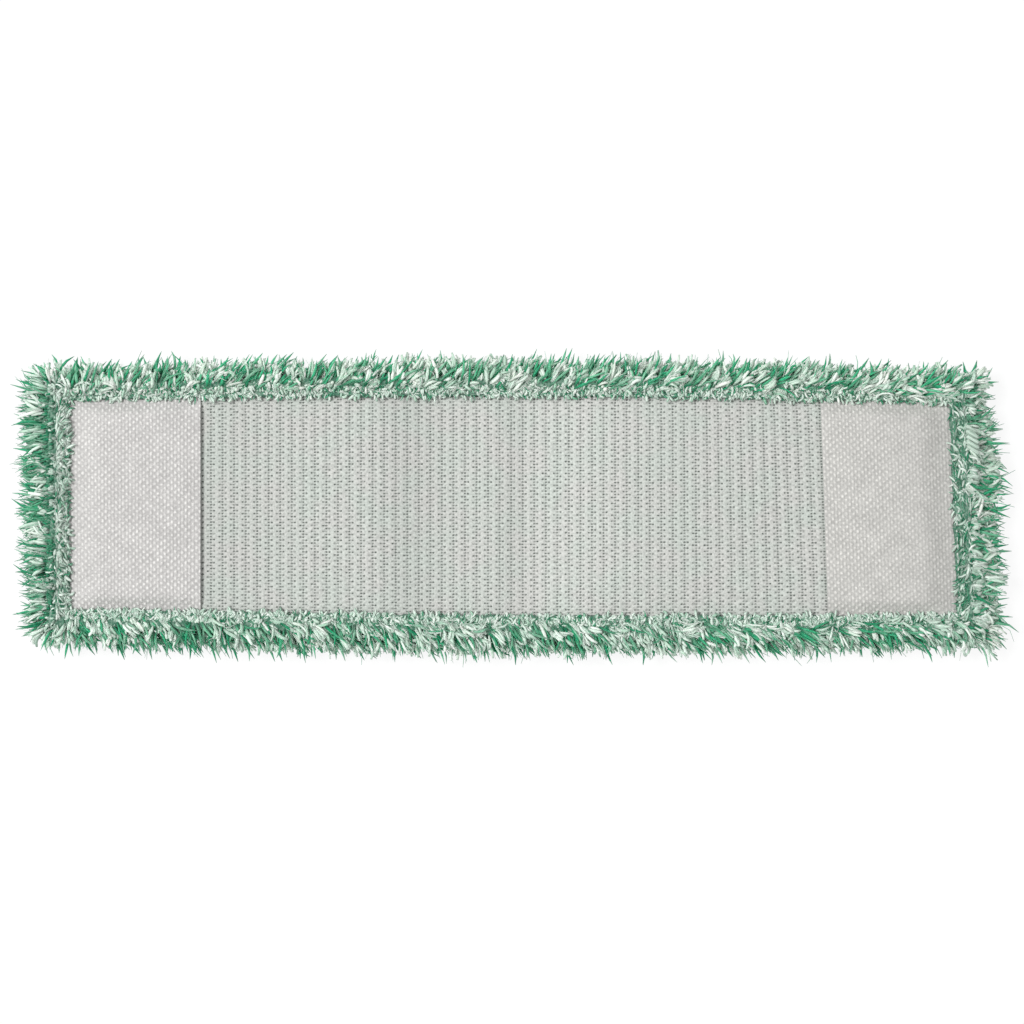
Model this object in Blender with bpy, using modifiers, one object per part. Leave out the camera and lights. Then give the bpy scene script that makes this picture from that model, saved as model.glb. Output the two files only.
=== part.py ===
"""Flat mop cover with two pockets, lying pile down with its back up.

Metres, +Z up, X along the cover and Y across it. The origin is at the middle of the floor face.
The cover folds across its middle, so each sewn layer has a left and a right half.
"""

import math

import bmesh
import bpy
from mathutils import Matrix, Vector

MM = 0.001

# Plan sizes
BED_LENGTH = 401 * MM  # between the end hems' inner edges, where the pockets are sewn
BED_WIDTH = 95.5 * MM  # between the long hems' inner edges
POCKET_DEPTH = 60 * MM  # from a pocket's mouth to its sewn end
HEM_WIDTH = 9.5 * MM  # the turned edge, seen from above
HEM_WALL = 3 * MM  # thickness of the hem where it goes round the edge
LIP_WIDTH = 3.2 * MM  # the flat strip of the hem that the seam runs on
FLANGE_REACH = 5.5 * MM  # how far a pocket's edges are tucked under the hems
FIELD_MARGIN = 0.5 * MM  # between the free knit field and what is sewn round it
END_REACH = 16 * MM  # fringe beyond the end hems
SIDE_REACH = 12.25 * MM  # fringe beyond the long hems

# Heights and thicknesses
PILE_HEIGHT = 10 * MM
PILE_ROUND = 3 * MM  # rounding of the pile's lower outer edges
SEWN_KNIT = 1.2 * MM  # base cloth where the seams press it flat
FIELD_RISE = 0.4 * MM  # how much thicker the knit is in the free field
POCKET_CLOTH = 0.9 * MM
POCKET_CLEAR = 4.8 * MM  # room under the panel for the end of a mop frame
POCKET_SIDE_SLOPE = 7 * MM  # width over which the panel rises from its long edges
POCKET_END_SLOPE = 10 * MM  # and from its sewn end
LIP_THICKNESS = 0.9 * MM
CROWN_RISE = 3.3 * MM  # rolled edge above the lip
EDGE_DROP = 2.2 * MM  # from the crown to the outer top edge
WALL_FOOT = 3 * MM  # height of the hem's lower edge over the floor
WALL_MIDDLE = 9 * MM  # height of the line between the two rows of fringe
SEAM_RADIUS = 0.45 * MM
SEAM_INSET = 1.6 * MM  # seam line from the hem's inner edge

# Fringe locks
LOCK_PITCH = 4.8 * MM
LOCK_MARGIN = 0.6 * MM  # bare hem round the root of a lock
LOCK_TIP = 0.4  # width of a tip against its root
LOCK_DROOP = 3.5 * MM
LOCK_LENGTHS = (1.0, 0.86, 0.95, 0.8)  # repeating shares of the full reach
SIDE_HEADING = math.radians(60)  # locks of the long sides lean towards +X
LEFT_CORNER_HEADING = math.radians(130)
RIGHT_CORNER_HEADING = math.radians(50)
END_CORNER_TURN = math.radians(38)  # how far the end locks turn out at the corners
LEFT_FAN = 42 * MM  # length of edge over which the headings change
RIGHT_FAN = 25 * MM
CORNER_TRIM = 0.1  # share by which the locks at the very corners are shorter

# Clearances
GAP = 0.3 * MM  # between layers that touch
FOLD_RISE = 0.3 * MM  # fold line above the highest layer

# Heights of the layers, one on the other
BASE_BOTTOM = PILE_HEIGHT + GAP
SEWN_TOP = BASE_BOTTOM + SEWN_KNIT
FIELD_TOP = SEWN_TOP + FIELD_RISE
FLANGE_TOP = SEWN_TOP + GAP + POCKET_CLOTH
PANEL_TOP = FIELD_TOP + POCKET_CLEAR + POCKET_CLOTH
LIP_UNDER_FIELD = SEWN_TOP + GAP
LIP_UNDER_POCKET = FLANGE_TOP + GAP
LIP_TOP = LIP_UNDER_POCKET + LIP_THICKNESS
CROWN_TOP = LIP_TOP + CROWN_RISE
EDGE_TOP = CROWN_TOP - EDGE_DROP
SEAM_HEIGHT = LIP_TOP + GAP + SEAM_RADIUS
FOLD_AXIS = Vector((0, 0, max(PANEL_TOP, CROWN_TOP) + FOLD_RISE))

# Distances from the middle
HALF_LENGTH = BED_LENGTH / 2
HALF_WIDTH = BED_WIDTH / 2
MOUTH = HALF_LENGTH - POCKET_DEPTH
CORE_MARGIN = HEM_WIDTH - HEM_WALL - GAP  # base cloth and pile past the hems' inner edges
FOLD_EDGE = GAP / 2
MITRE_CUT = GAP / math.sqrt(2)

# The hem's section is a grid with its inner lower quads left out:
# columns run from the inner edge to the outer wall, rows from the foot to the top.
HEM_ACROSS = (0, LIP_WIDTH, HEM_WIDTH - HEM_WALL, HEM_WIDTH)
HEM_TOPS = (LIP_TOP, LIP_TOP, CROWN_TOP, EDGE_TOP)
FOOT_ROW, MIDDLE_ROW, TOP_ROW = range(3)
WALL_COLUMN = 2
OUTER_COLUMN = 3

HALVES = {"left": -1, "right": 1}
EDGES = {"front": -1, "back": 1}


def clear_scene():
    for obj in list(bpy.data.objects):
        bpy.data.objects.remove(obj)


def cloth_material(name, colour, roughness):
    material = bpy.data.materials.new(name)
    material.use_nodes = True
    shader = material.node_tree.nodes["Principled BSDF"]
    shader.inputs["Base Color"].default_value = (*colour, 1)
    shader.inputs["Roughness"].default_value = roughness
    shader.inputs["Metallic"].default_value = 0
    return material


def half_carrier(half):
    """The empty on the fold line that carries one half."""
    empty = bpy.data.objects.new(f"{half}_half", None)
    empty.location = FOLD_AXIS
    cover.objects.link(empty)
    return empty


def add_piece(name, data, material, half):
    """Links a piece drawn in the cover's frame, with its origin moved to the fold line."""
    data.transform(Matrix.Translation(-FOLD_AXIS))
    data.materials.append(material)
    piece = bpy.data.objects.new(name, data)
    piece.parent = carriers[half]
    cover.objects.link(piece)
    return piece


def mesh_of(name, bm):
    mesh = bpy.data.meshes.new(name)
    bm.to_mesh(mesh)
    bm.free()
    return mesh


def solid_of(name, bm):
    bmesh.ops.recalc_face_normals(bm, faces=bm.faces)
    return mesh_of(name, bm)


def grid_places(bm, columns, rows):
    """Adds a grid of quads and gives each vertex with its column and row."""
    made = bmesh.ops.create_grid(bm, x_segments=columns, y_segments=rows, size=1)
    places = []
    for vertex in made["verts"]:
        column = round((vertex.co.x + 1) / 2 * columns)
        row = round((vertex.co.y + 1) / 2 * rows)
        places.append((vertex, column, row))
    return places


def extrude(bm, faces):
    """Extrudes a region of faces and gives its moved vertices and faces."""
    made = bmesh.ops.extrude_face_region(bm, geom=faces)["geom"]
    moved = [item for item in made if isinstance(item, bmesh.types.BMVert)]
    ends = [item for item in made if isinstance(item, bmesh.types.BMFace)]
    return moved, ends


def eased(share):
    """A smooth step from 0 to 1, held outside that range."""
    share = min(max(share, 0), 1)
    return share * share * (3 - 2 * share)


def even_shares(length):
    """Stations along an edge, as shares of its length, about a lock's pitch apart."""
    count = round(length / LOCK_PITCH)
    return [index / count for index in range(count + 1)]


def floor_pile(half):
    """The thick pile under the base cloth, with its lower outer edges rounded."""
    side = HALVES[half]
    outer = HALF_LENGTH + CORE_MARGIN
    width = 2 * (HALF_WIDTH + CORE_MARGIN)
    bm = bmesh.new()
    bmesh.ops.create_cube(bm, size=1)
    bmesh.ops.scale(bm, vec=(outer - FOLD_EDGE, width, PILE_HEIGHT), verts=bm.verts)
    middle = Vector((side * (outer + FOLD_EDGE) / 2, 0, PILE_HEIGHT / 2))
    bmesh.ops.translate(bm, vec=middle, verts=bm.verts)
    lower = [edge for edge in bm.edges if all(v.co.z < middle.z for v in edge.verts)]
    rounded = [edge for edge in lower if any(abs(v.co.x) > abs(middle.x) for v in edge.verts)]
    bmesh.ops.bevel(
        bm, geom=rounded, offset=PILE_ROUND, segments=2, profile=0.5, affect="EDGES"
    )
    add_piece(f"floor_pile_{half}", solid_of("floor_pile", bm), pile_cloth, half)


def base_cloth(half):
    """The knit backing: thin where it is sewn, thicker in the free field between hems and pocket."""
    side = HALVES[half]
    field = HALF_WIDTH - FIELD_MARGIN
    edge = HALF_WIDTH + CORE_MARGIN
    xs = (FOLD_EDGE, MOUTH - FIELD_MARGIN, HALF_LENGTH + CORE_MARGIN)
    ys = (-edge, -field, field, edge)
    bm = bmesh.new()
    for vertex, column, row in grid_places(bm, len(xs) - 1, len(ys) - 1):
        vertex.co = (side * xs[column], ys[row], BASE_BOTTOM)
    moved, tops = extrude(bm, bm.faces[:])
    bmesh.ops.translate(bm, vec=(0, 0, SEWN_KNIT), verts=moved)
    middles = {face: face.calc_center_median() for face in tops}
    free = [face for face in tops if abs(middles[face].x) < MOUTH and abs(middles[face].y) < field]
    raised = bmesh.ops.extrude_discrete_faces(bm, faces=free)["faces"]
    for face in raised:
        bmesh.ops.translate(bm, vec=(0, 0, FIELD_RISE), verts=face.verts)
    add_piece(f"base_cloth_{half}", solid_of("base_cloth", bm), knit_cloth, half)


def panel_height(x, y):
    """Top of a pocket's cloth, from its tucked flange up to the raised panel."""
    from_side = eased((HALF_WIDTH - abs(y)) / POCKET_SIDE_SLOPE)
    from_end = eased((HALF_LENGTH - x) / POCKET_END_SLOPE)
    return FLANGE_TOP + (PANEL_TOP - FLANGE_TOP) * from_side * from_end


def rising_places(sewn_edge, slope):
    """Distances from the middle at which a panel bends down to its sewn edge, and its flange's end."""
    steps = 3
    places = [sewn_edge - slope * (steps - step) / steps for step in range(steps + 1)]
    return places + [sewn_edge + FLANGE_REACH]


def pocket(half):
    """A woven panel sewn on three sides and open at its mouth, standing a little open."""
    side = HALVES[half]
    xs = [MOUTH] + rising_places(HALF_LENGTH, POCKET_END_SLOPE)
    back_ys = rising_places(HALF_WIDTH, POCKET_SIDE_SLOPE)
    ys = [-y for y in reversed(back_ys)] + back_ys
    bm = bmesh.new()
    for vertex, column, row in grid_places(bm, len(xs) - 1, len(ys) - 1):
        x, y = xs[column], ys[row]
        vertex.co = (side * x, y, panel_height(x, y))
    if side < 0:
        bmesh.ops.reverse_faces(bm, faces=bm.faces)
    piece = add_piece(f"pocket_{half}", mesh_of("pocket", bm), woven_cloth, half)
    cloth = piece.modifiers.new("cloth thickness", "SOLIDIFY")
    cloth.thickness = POCKET_CLOTH
    cloth.offset = -1
    cloth.use_even_offset = True


def hem_height(column, row, under):
    """Height of a point of the hem's section, whose lip has its underside at under."""
    if row == FOOT_ROW:
        return WALL_FOOT
    if row == TOP_ROW:
        return HEM_TOPS[column]
    return WALL_MIDDLE if column == OUTER_COLUMN else under


def hem_sweep(bm, steps):
    """Sweeps the hem's section in counts: X is the column, Y the row and Z the station.

    Gives the vertices with those three counts, and the faces of the outer wall.
    """
    for vertex, column, row in grid_places(bm, OUTER_COLUMN, TOP_ROW):
        vertex.co = (column, row, 0)
    middles = {face: face.calc_center_median() for face in bm.faces}
    core = [face for face in bm.faces if middles[face].x < WALL_COLUMN and middles[face].y < MIDDLE_ROW]
    bmesh.ops.delete(bm, geom=core, context="FACES")
    section = bm.faces[:]
    for station in range(steps):
        moved, ends = extrude(bm, section)
        bmesh.ops.translate(bm, vec=(0, 0, 1), verts=moved)
        if station > 0:
            bmesh.ops.delete(bm, geom=section, context="FACES_ONLY")
        section = ends
    counts = [(vertex, *(round(count) for count in vertex.co)) for vertex in bm.verts]
    outer = {vertex for vertex, column, row, station in counts if column == OUTER_COLUMN}
    walls = [face for face in bm.faces if outer.issuperset(face.verts)]
    return counts, walls


def side_heading(root):
    """Heading of a long side's lock, and how far into a corner it is."""
    edge_end = HALF_LENGTH + HEM_WIDTH
    into_left = eased(1 - (edge_end + root.x) / LEFT_FAN)
    into_right = eased(1 - (edge_end - root.x) / RIGHT_FAN)
    heading = SIDE_HEADING
    heading += (LEFT_CORNER_HEADING - SIDE_HEADING) * into_left
    heading += (RIGHT_CORNER_HEADING - SIDE_HEADING) * into_right
    return math.copysign(heading, root.y), max(into_left, into_right)


def end_heading(root):
    """Heading of an end's lock, and how far into a corner it is."""
    into_corner = eased(1 - (HALF_WIDTH + HEM_WIDTH - abs(root.y)) / RIGHT_FAN)
    turn = math.copysign(END_CORNER_TURN * into_corner, root.y)
    return (turn if root.x > 0 else math.pi - turn), into_corner


def room_towards(root, heading):
    """How far a lock can run before it meets the fringe's outer box."""
    room_x = HALF_LENGTH + HEM_WIDTH + END_REACH - abs(root.x)
    room_y = HALF_WIDTH + HEM_WIDTH + SIDE_REACH - abs(root.y)
    part_x, part_y = abs(math.cos(heading)), abs(math.sin(heading))
    if part_x * room_y < part_y * room_x:
        return room_y / part_y
    return room_x / part_x


def grow_locks(bm, walls, along, heading_of):
    """Grows one tapered, drooping lock from each face of a hem's outer wall."""
    bmesh.ops.recalc_face_normals(bm, faces=bm.faces)
    bmesh.ops.inset_individual(bm, faces=walls, thickness=LOCK_MARGIN, use_even_offset=True)
    for tip in bmesh.ops.extrude_discrete_faces(bm, faces=walls)["faces"]:
        root = tip.calc_center_median()
        heading, into_corner = heading_of(root)
        upper_row = root.z > WALL_MIDDLE
        turn = round(abs(root[along]) / LOCK_PITCH) + 2 * upper_row
        run = room_towards(root, heading) * (1 - CORNER_TRIM * into_corner)
        run *= LOCK_LENGTHS[turn % len(LOCK_LENGTHS)]
        offset = Vector((run * math.cos(heading), run * math.sin(heading), -LOCK_DROOP))
        for vertex in tip.verts:
            vertex.co = root + (vertex.co - root) * LOCK_TIP + offset


def long_hem(edge, half):
    """Half of a long edge turned over onto the back, from the fold to the mitred corner."""
    side, sign = HALVES[half], EDGES[edge]
    shares = even_shares(HALF_LENGTH + HEM_WIDTH - FOLD_EDGE)
    bm = bmesh.new()
    counts, walls = hem_sweep(bm, len(shares) - 1)
    for vertex, column, row, station in counts:
        across = HEM_ACROSS[column]
        length = HALF_LENGTH + across - MITRE_CUT - FOLD_EDGE
        x = FOLD_EDGE + shares[station] * length
        step = length / (len(shares) - 1)
        over_pocket = x > MOUTH - GAP - step
        under = LIP_UNDER_POCKET if over_pocket else LIP_UNDER_FIELD
        vertex.co = (side * x, sign * (HALF_WIDTH + across), hem_height(column, row, under))
    grow_locks(bm, walls, 0, side_heading)
    add_piece(f"{edge}_hem_{half}", solid_of("long_hem", bm), pile_cloth, half)


def end_hem(half):
    """A short edge turned over onto the back and over the pocket's sewn end."""
    side = HALVES[half]
    shares = even_shares(2 * (HALF_WIDTH + HEM_WIDTH))
    bm = bmesh.new()
    counts, walls = hem_sweep(bm, len(shares) - 1)
    for vertex, column, row, station in counts:
        across = HEM_ACROSS[column]
        y = (2 * shares[station] - 1) * (HALF_WIDTH + across - MITRE_CUT)
        height = hem_height(column, row, LIP_UNDER_POCKET)
        vertex.co = (side * (HALF_LENGTH + across), y, height)
    grow_locks(bm, walls, 1, end_heading)
    add_piece(f"end_hem_{half}", solid_of("end_hem", bm), pile_cloth, half)


def seam(name, half, start, end):
    """A run of sewing thread on a hem's lip, between two points of its plan."""
    curve = bpy.data.curves.new("seam", "CURVE")
    curve.dimensions = "3D"
    curve.bevel_depth = SEAM_RADIUS
    curve.bevel_resolution = 1
    curve.use_fill_caps = True
    spline = curve.splines.new("POLY")
    spline.points.add(1)
    for point, (x, y) in zip(spline.points, (start, end)):
        point.co = (x, y, SEAM_HEIGHT, 1)
    add_piece(name, curve, thread, half)


def seams(half):
    """The thread along each hem of one half: the end's run closes the corners of the long ones."""
    side = HALVES[half]
    end_line = HALF_LENGTH + SEAM_INSET
    side_line = HALF_WIDTH + SEAM_INSET
    for edge, sign in EDGES.items():
        start = (side * FOLD_EDGE, sign * side_line)
        end = (side * (end_line - SEAM_RADIUS - GAP), sign * side_line)
        seam(f"{edge}_seam_{half}", half, start, end)
    reach = side_line + SEAM_RADIUS
    seam(f"end_seam_{half}", half, (side * end_line, -reach), (side * end_line, reach))


clear_scene()
cover = bpy.data.collections.new("flat_mop_cover")
bpy.context.scene.collection.children.link(cover)
knit_cloth = cloth_material("knit_cloth", (0.55, 0.58, 0.54), 0.9)
woven_cloth = cloth_material("woven_cloth", (0.64, 0.63, 0.61), 0.85)
pile_cloth = cloth_material("pile_cloth", (0.1, 0.36, 0.2), 0.95)
thread = cloth_material("thread", (0.72, 0.74, 0.7), 0.7)
carriers = {half: half_carrier(half) for half in HALVES}
for half in HALVES:
    floor_pile(half)
    base_cloth(half)
    pocket(half)
    for edge in EDGES:
        long_hem(edge, half)
    end_hem(half)
    seams(half)
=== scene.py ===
"""A pocket mop cover, lying on its pile with its back up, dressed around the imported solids."""

import bpy
import numpy as np
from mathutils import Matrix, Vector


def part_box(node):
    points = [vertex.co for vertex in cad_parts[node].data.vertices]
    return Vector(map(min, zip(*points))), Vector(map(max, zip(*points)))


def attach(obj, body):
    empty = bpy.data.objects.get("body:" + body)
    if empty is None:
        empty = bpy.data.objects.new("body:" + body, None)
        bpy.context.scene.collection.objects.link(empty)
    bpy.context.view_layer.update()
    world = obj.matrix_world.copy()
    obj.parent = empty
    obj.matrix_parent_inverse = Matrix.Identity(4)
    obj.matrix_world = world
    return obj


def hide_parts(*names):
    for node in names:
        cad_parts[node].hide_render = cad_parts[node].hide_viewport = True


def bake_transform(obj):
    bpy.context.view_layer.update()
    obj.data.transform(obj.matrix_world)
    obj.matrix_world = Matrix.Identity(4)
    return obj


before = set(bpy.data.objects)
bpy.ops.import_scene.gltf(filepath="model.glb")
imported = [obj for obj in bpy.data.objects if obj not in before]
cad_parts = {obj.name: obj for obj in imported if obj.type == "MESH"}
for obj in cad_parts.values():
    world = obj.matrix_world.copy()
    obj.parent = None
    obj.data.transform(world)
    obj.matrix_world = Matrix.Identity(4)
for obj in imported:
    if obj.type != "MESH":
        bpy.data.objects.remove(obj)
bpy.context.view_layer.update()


# Pile backing
# The ground cloth that the floor pile is tufted into: a mat of felted roots in a deep, dull green.
# It lies under the knit cloth and is caught in the same seams all round.
MM = 0.001
LEFT, RIGHT = "left_half", "right_half"
FOLD_RUN = 18 * MM  # cloth on each side of the fold line, over which the floor pile is thinned and turned along the fold

BACKING_TOP = 9.8 * MM
BACKING_UNDER = 5.5 * MM
BACKING_LUMPS, BACKING_WAVE = 0.8 * MM, 9 * MM  # height and length of its unevenness
BACKING_PITCH = 3 * MM
BACKING_DEEP = (0.030, 0.160, 0.085)
BACKING_PALE = (0.20, 0.42, 0.30)
BACKING_RELIEF = 0.6 * MM
BACKING_SEED = 3

BOW = (0.036, 0.0065, -0.0425)  # widening of the cover along it: middle, lean and ends
DRIFT = (0.55 * MM, -0.975 * MM, -0.475 * MM)  # sideways drift of its centre line, likewise
SKEW = 0.036  # how far the right end is pulled out of square
SKEW_FROM, SKEW_FULL = 60 * MM, 150 * MM

TOP_SHARE, UNDER_SHARE = 0.74, 0.94  # heights in a bake map where a cloth's upper and under faces end
MAP_GAP = 0.01
EDGE_LANE, EDGE_WIDE = 0.0125, 0.01  # the lanes above them, for its edges

core_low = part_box("floor_pile_left")[0]
core_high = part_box("floor_pile_right")[1]
bed_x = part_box("end_hem_right")[0].x  # inner edges of the hems
bed_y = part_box("back_hem_right")[0].y


class Reading:
    """One output of a material's node. Arithmetic on readings adds Math nodes."""

    def __init__(self, socket):
        self.socket = socket

    def made(self, kind, settings, sockets, output=0):
        """Another node of this material. Its settings are set first, then its sockets filled or linked."""
        tree = self.socket.id_data
        node = tree.nodes.new(kind)
        for name, value in settings.items():
            setattr(node, name, value)
        for name, value in sockets.items():
            if isinstance(value, Reading):
                tree.links.new(value.socket, node.inputs[name])
            else:
                node.inputs[name].default_value = value
        return Reading(node.outputs[output])

    def beside(self, output):
        """Another output of the same node."""
        return Reading(self.socket.node.outputs[output])

    def sums(self, operation, *terms):
        return self.made("ShaderNodeMath", {"operation": operation}, dict(enumerate(terms)))

    def __add__(self, other):
        return self.sums("ADD", self, other)

    def __sub__(self, other):
        return self.sums("SUBTRACT", self, other)

    def __rsub__(self, other):
        return self.sums("SUBTRACT", other, self)

    def __mul__(self, other):
        return self.sums("MULTIPLY", self, other)

    def __truediv__(self, other):
        return self.sums("DIVIDE", self, other)

    def __abs__(self):
        return self.sums("ABSOLUTE", self)

    __radd__ = __add__
    __rmul__ = __mul__

    def eased(self, low, high, start=0.0, end=1.0):
        """A smooth step from start to end as this reading goes from low to high."""
        return self.made("ShaderNodeMapRange", {"interpolation_type": "SMOOTHSTEP"},
                         {"Value": self, "From Min": low, "From Max": high, "To Min": start, "To Max": end})

    def mix(self, first, second):
        """first where this reading is 0 and second where it is 1, both colours."""
        ends = [c if isinstance(c, Reading) else (*c, 1) for c in (first, second)]
        return self.made("ShaderNodeMix", {"data_type": "RGBA"}, {0: self, 6: ends[0], 7: ends[1]}, 2)

    def shaded(self, strength):
        """This colour times a number."""
        return self.made("ShaderNodeVectorMath", {"operation": "SCALE"}, {0: self, "Scale": strength})

    def mark(self, name):
        """A value that the mesh carries on its points."""
        return self.made("ShaderNodeAttribute", {"attribute_name": name}, {}, "Vector")

    def axes(self):
        """The three numbers of a vector."""
        first = self.made("ShaderNodeSeparateXYZ", {}, {0: self})
        return first, first.beside(1), first.beside(2)

    def noise(self, scale, detail=2.0):
        """Soft noise between 0 and 1 over this vector."""
        return self.made("ShaderNodeTexNoise", {}, {"Vector": self, "Scale": scale, "Detail": detail})


def textile(name, roughness, sheen=0.0):
    """A material for yarn or cloth, and a reading to start its nodes from."""
    material = bpy.data.materials.new(name)
    material.use_nodes = True
    shader = material.node_tree.nodes["Principled BSDF"]
    shader.inputs["Roughness"].default_value = roughness
    shader.inputs["Specular IOR Level"].default_value = 0.25
    shader.inputs["Sheen Weight"].default_value = sheen
    shader.inputs["Sheen Roughness"].default_value = 0.5
    return material, Reading(shader.outputs[0])


def wear(material, colour, relief=None, depth=0.0):
    """Gives a textile its colour and, where it has one, its fine relief."""
    tree = material.node_tree
    shader = tree.nodes["Principled BSDF"]
    tree.links.new(colour.socket, shader.inputs["Base Color"])
    if relief:
        bump = relief.made("ShaderNodeBump", {}, {"Height": relief, "Strength": 1.0, "Distance": depth})
        tree.links.new(bump.socket, shader.inputs["Normal"])


def lie(points):
    """Moves points of the square cover to how it lies: bowed along its sides, its right end askew."""
    x, y, z = np.moveaxis(np.asarray(points, float), -1, 0)
    along = x / bed_x
    wider = 1 + BOW[0] + BOW[1] * along + BOW[2] * along**2
    drift = DRIFT[0] + DRIFT[1] * along + DRIFT[2] * along**2
    pulled = np.clip((x - SKEW_FROM) / (SKEW_FULL - SKEW_FROM), 0, 1)
    pulled = SKEW * pulled**2 * (3 - 2 * pulled)
    return np.stack([x - pulled * y, y * wider + drift, z], -1)


def piece(name, points, faces, material, maps=None, **marks):
    """A mesh object as the cover lies, with a bake map and with marks on its points.

    Its faces come in arrays, each of faces with as many corners."""
    mesh = bpy.data.meshes.new(name)
    corners = np.concatenate([f.ravel() for f in faces])
    sizes = np.concatenate([np.full(len(f), f.shape[1]) for f in faces])
    mesh.vertices.add(len(points))
    mesh.vertices.foreach_set("co", lie(points).astype(np.float32).ravel())
    mesh.loops.add(len(corners))
    mesh.loops.foreach_set("vertex_index", corners.astype(np.int32))
    mesh.polygons.add(len(sizes))
    mesh.polygons.foreach_set("loop_start", np.r_[0, np.cumsum(sizes)[:-1]].astype(np.int32))
    mesh.update(calc_edges=True)
    mesh.shade_smooth()
    for mark, values in marks.items():
        layer = mesh.attributes.new(mark, "FLOAT_VECTOR", "POINT")
        layer.data.foreach_set("vector", np.asarray(values, np.float32).ravel())
    if maps is not None:
        spread = np.concatenate([m.reshape(-1, 2) for m in maps])
        layer = mesh.uv_layers.new(name="OFBake")
        layer.uv.foreach_set("vector", spread.astype(np.float32).ravel())
    mesh.materials.append(material)
    obj = bpy.data.objects.new(name, mesh)
    bpy.context.scene.collection.objects.link(obj)
    return obj


def quads(grid):
    """The quads between the lines of a grid of point numbers, turned up where both run onwards."""
    return np.stack([grid[:-1, :-1], grid[1:, :-1], grid[1:, 1:], grid[:-1, 1:]], -1).reshape(-1, 4)


def shell(name, xs, ys, top, under, material, strips=1, skip=1):
    """A closed cloth on crossing lines: an upper face, edges, and an under face on each skip-th of the ys.

    Its bake map has the upper face in strips one above the other, then the under face, then the edges."""
    kept = np.unique(np.r_[0:len(ys):skip, len(ys) - 1])
    x, y = np.meshgrid(xs, ys, indexing="ij")
    x_low, y_low = np.meshgrid(xs, ys[kept], indexing="ij")
    points = np.concatenate([np.stack([x, y, top(x, y)], -1).reshape(-1, 3),
                             np.stack([x_low, y_low, under(x_low, y_low)], -1).reshape(-1, 3)])
    up = np.arange(x.size).reshape(x.shape)
    low = x.size + np.arange(x_low.size).reshape(x_low.shape)
    front = quads(np.stack([low[:, 0], up[:, 0]], -1))
    back = quads(np.stack([up[:, -1], low[:, -1]], -1))
    spans = list(zip(range(len(kept) - 1), kept[:-1], kept[1:]))
    left = [np.r_[low[0, k + 1], low[0, k], up[0, a:b + 1]][None] for k, a, b in spans]
    right = [np.r_[low[-1, k], low[-1, k + 1], up[-1, a:b + 1][::-1]][None] for k, a, b in spans]
    faces = [quads(up), quads(low)[:, ::-1], front, back, *left, *right]

    share = (points[:, :2] - points[:, :2].min(0)) / np.ptp(points[:, :2], axis=0)
    over = (np.arange(len(points)) < x.size) * 1.0
    at = share[faces[0]]
    strip = np.minimum(np.floor(at[..., 0].mean(1) * strips), strips - 1)[:, None]
    maps = [np.stack([at[..., 0] * strips - strip, (at[..., 1] + strip) / strips * TOP_SHARE], -1)]
    at = share[faces[1]]
    low_edge = TOP_SHARE + MAP_GAP
    maps.append(np.stack([at[..., 0], low_edge + at[..., 1] * (UNDER_SHARE - low_edge)], -1))
    for n, f in enumerate(faces[2:]):
        lane = UNDER_SHARE + MAP_GAP + EDGE_LANE * min(n, 2 + (n - 2) // len(left))
        maps.append(np.stack([share[f][..., min(n // 2, 1)], lane + EDGE_WIDE * over[f]], -1))
    return piece(name, points, faces, material, maps, plan=points / MM)


def ripple(draw, x, y, wavelength, waves=9):
    """A smooth random relief of crossing waves, mostly between -1 and 1."""
    angle, phase = draw.uniform(0, 2 * np.pi, (2, waves))
    pitch = wavelength * draw.uniform(0.6, 1.7, waves)
    across = (x[..., None] * np.cos(angle) + y[..., None] * np.sin(angle)) / pitch
    return np.sin(2 * np.pi * across + phase).sum(-1) / np.sqrt(waves)


def bend_at_fold(obj, *nodes):
    """A piece that runs through the fold, in place of the solids of both halves."""
    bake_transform(obj)
    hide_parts(*nodes)


def backing_under(x, y):
    return BACKING_UNDER + BACKING_LUMPS * ripple(np.random.default_rng(BACKING_SEED), x, y, BACKING_WAVE)


felt, start = textile("felted_roots", 0.95)
matted = start.mark("plan").noise(0.6, 4.0)
wear(felt, matted.eased(0.35, 0.65).mix(BACKING_DEEP, BACKING_PALE), matted, BACKING_RELIEF)
backing = shell("pile_backing",
                np.arange(core_low.x, core_high.x + BACKING_PITCH / 2, BACKING_PITCH),
                np.arange(core_low.y, core_high.y + BACKING_PITCH / 2, BACKING_PITCH),
                lambda x, y: np.full_like(x, BACKING_TOP), backing_under, felt)
bend_at_fold(backing, "floor_pile_left", "floor_pile_right")


# Floor pile
# Locks of split microfibre yarn, green and white, cut to one length and tufted through the backing.
# They stand under the whole cover, pressed over by its weight, and do the wiping.
PILE_PITCH = 2.72 * MM  # between locks, with twice as many where the fold stretches the cloth
PILE_LOCK = 9 * MM
PILE_STOUT = 0.90 * MM  # radius of a lock
PILE_PARTS = 8 * MM  # beyond the bend, where it begins to part along the fold
PILE_GREEN = 0.55  # share of green locks
PILE_COMBED = 60 * MM  # size of a patch that lies one way
PILE_SPLAY = 5 * MM  # at its rim it is pushed outwards, under the hems
PILE_ROOTED = 1.5 * MM  # how deep it is set into the backing
PILE_SWING = 3  # radians that its way turns by, from patch to patch
PILE_STRAY, RIM_STRAY, FOLD_STRAY = 0.6, 0.4, 0.15  # how far single locks stray from that way
PILE_THINNED = 0.35  # how much thinner the locks along the fold are
PILE_CLIMB, PILE_DROOP, PILE_CURL = (-1.1, -0.6), (-0.6, 0.1), 0.5  # radians along a lock
PILE_TONES = (-0.4, 0.8)  # from a dull, matted tone to a bright one
PILE_TIP = 0.3  # thickness of a white lock's tip
PILE_SEED = 11
FLOOR_CLEAR = 0.25 * MM
LOCK_FLAT = 0.7
SHORT_LOCK = (4, 4)  # sides and stations of a lock of short pile
LONG_LOCK = (5, 4)
FIBRE_SIDES, FIBRE_STATIONS = 3, 4
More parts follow.
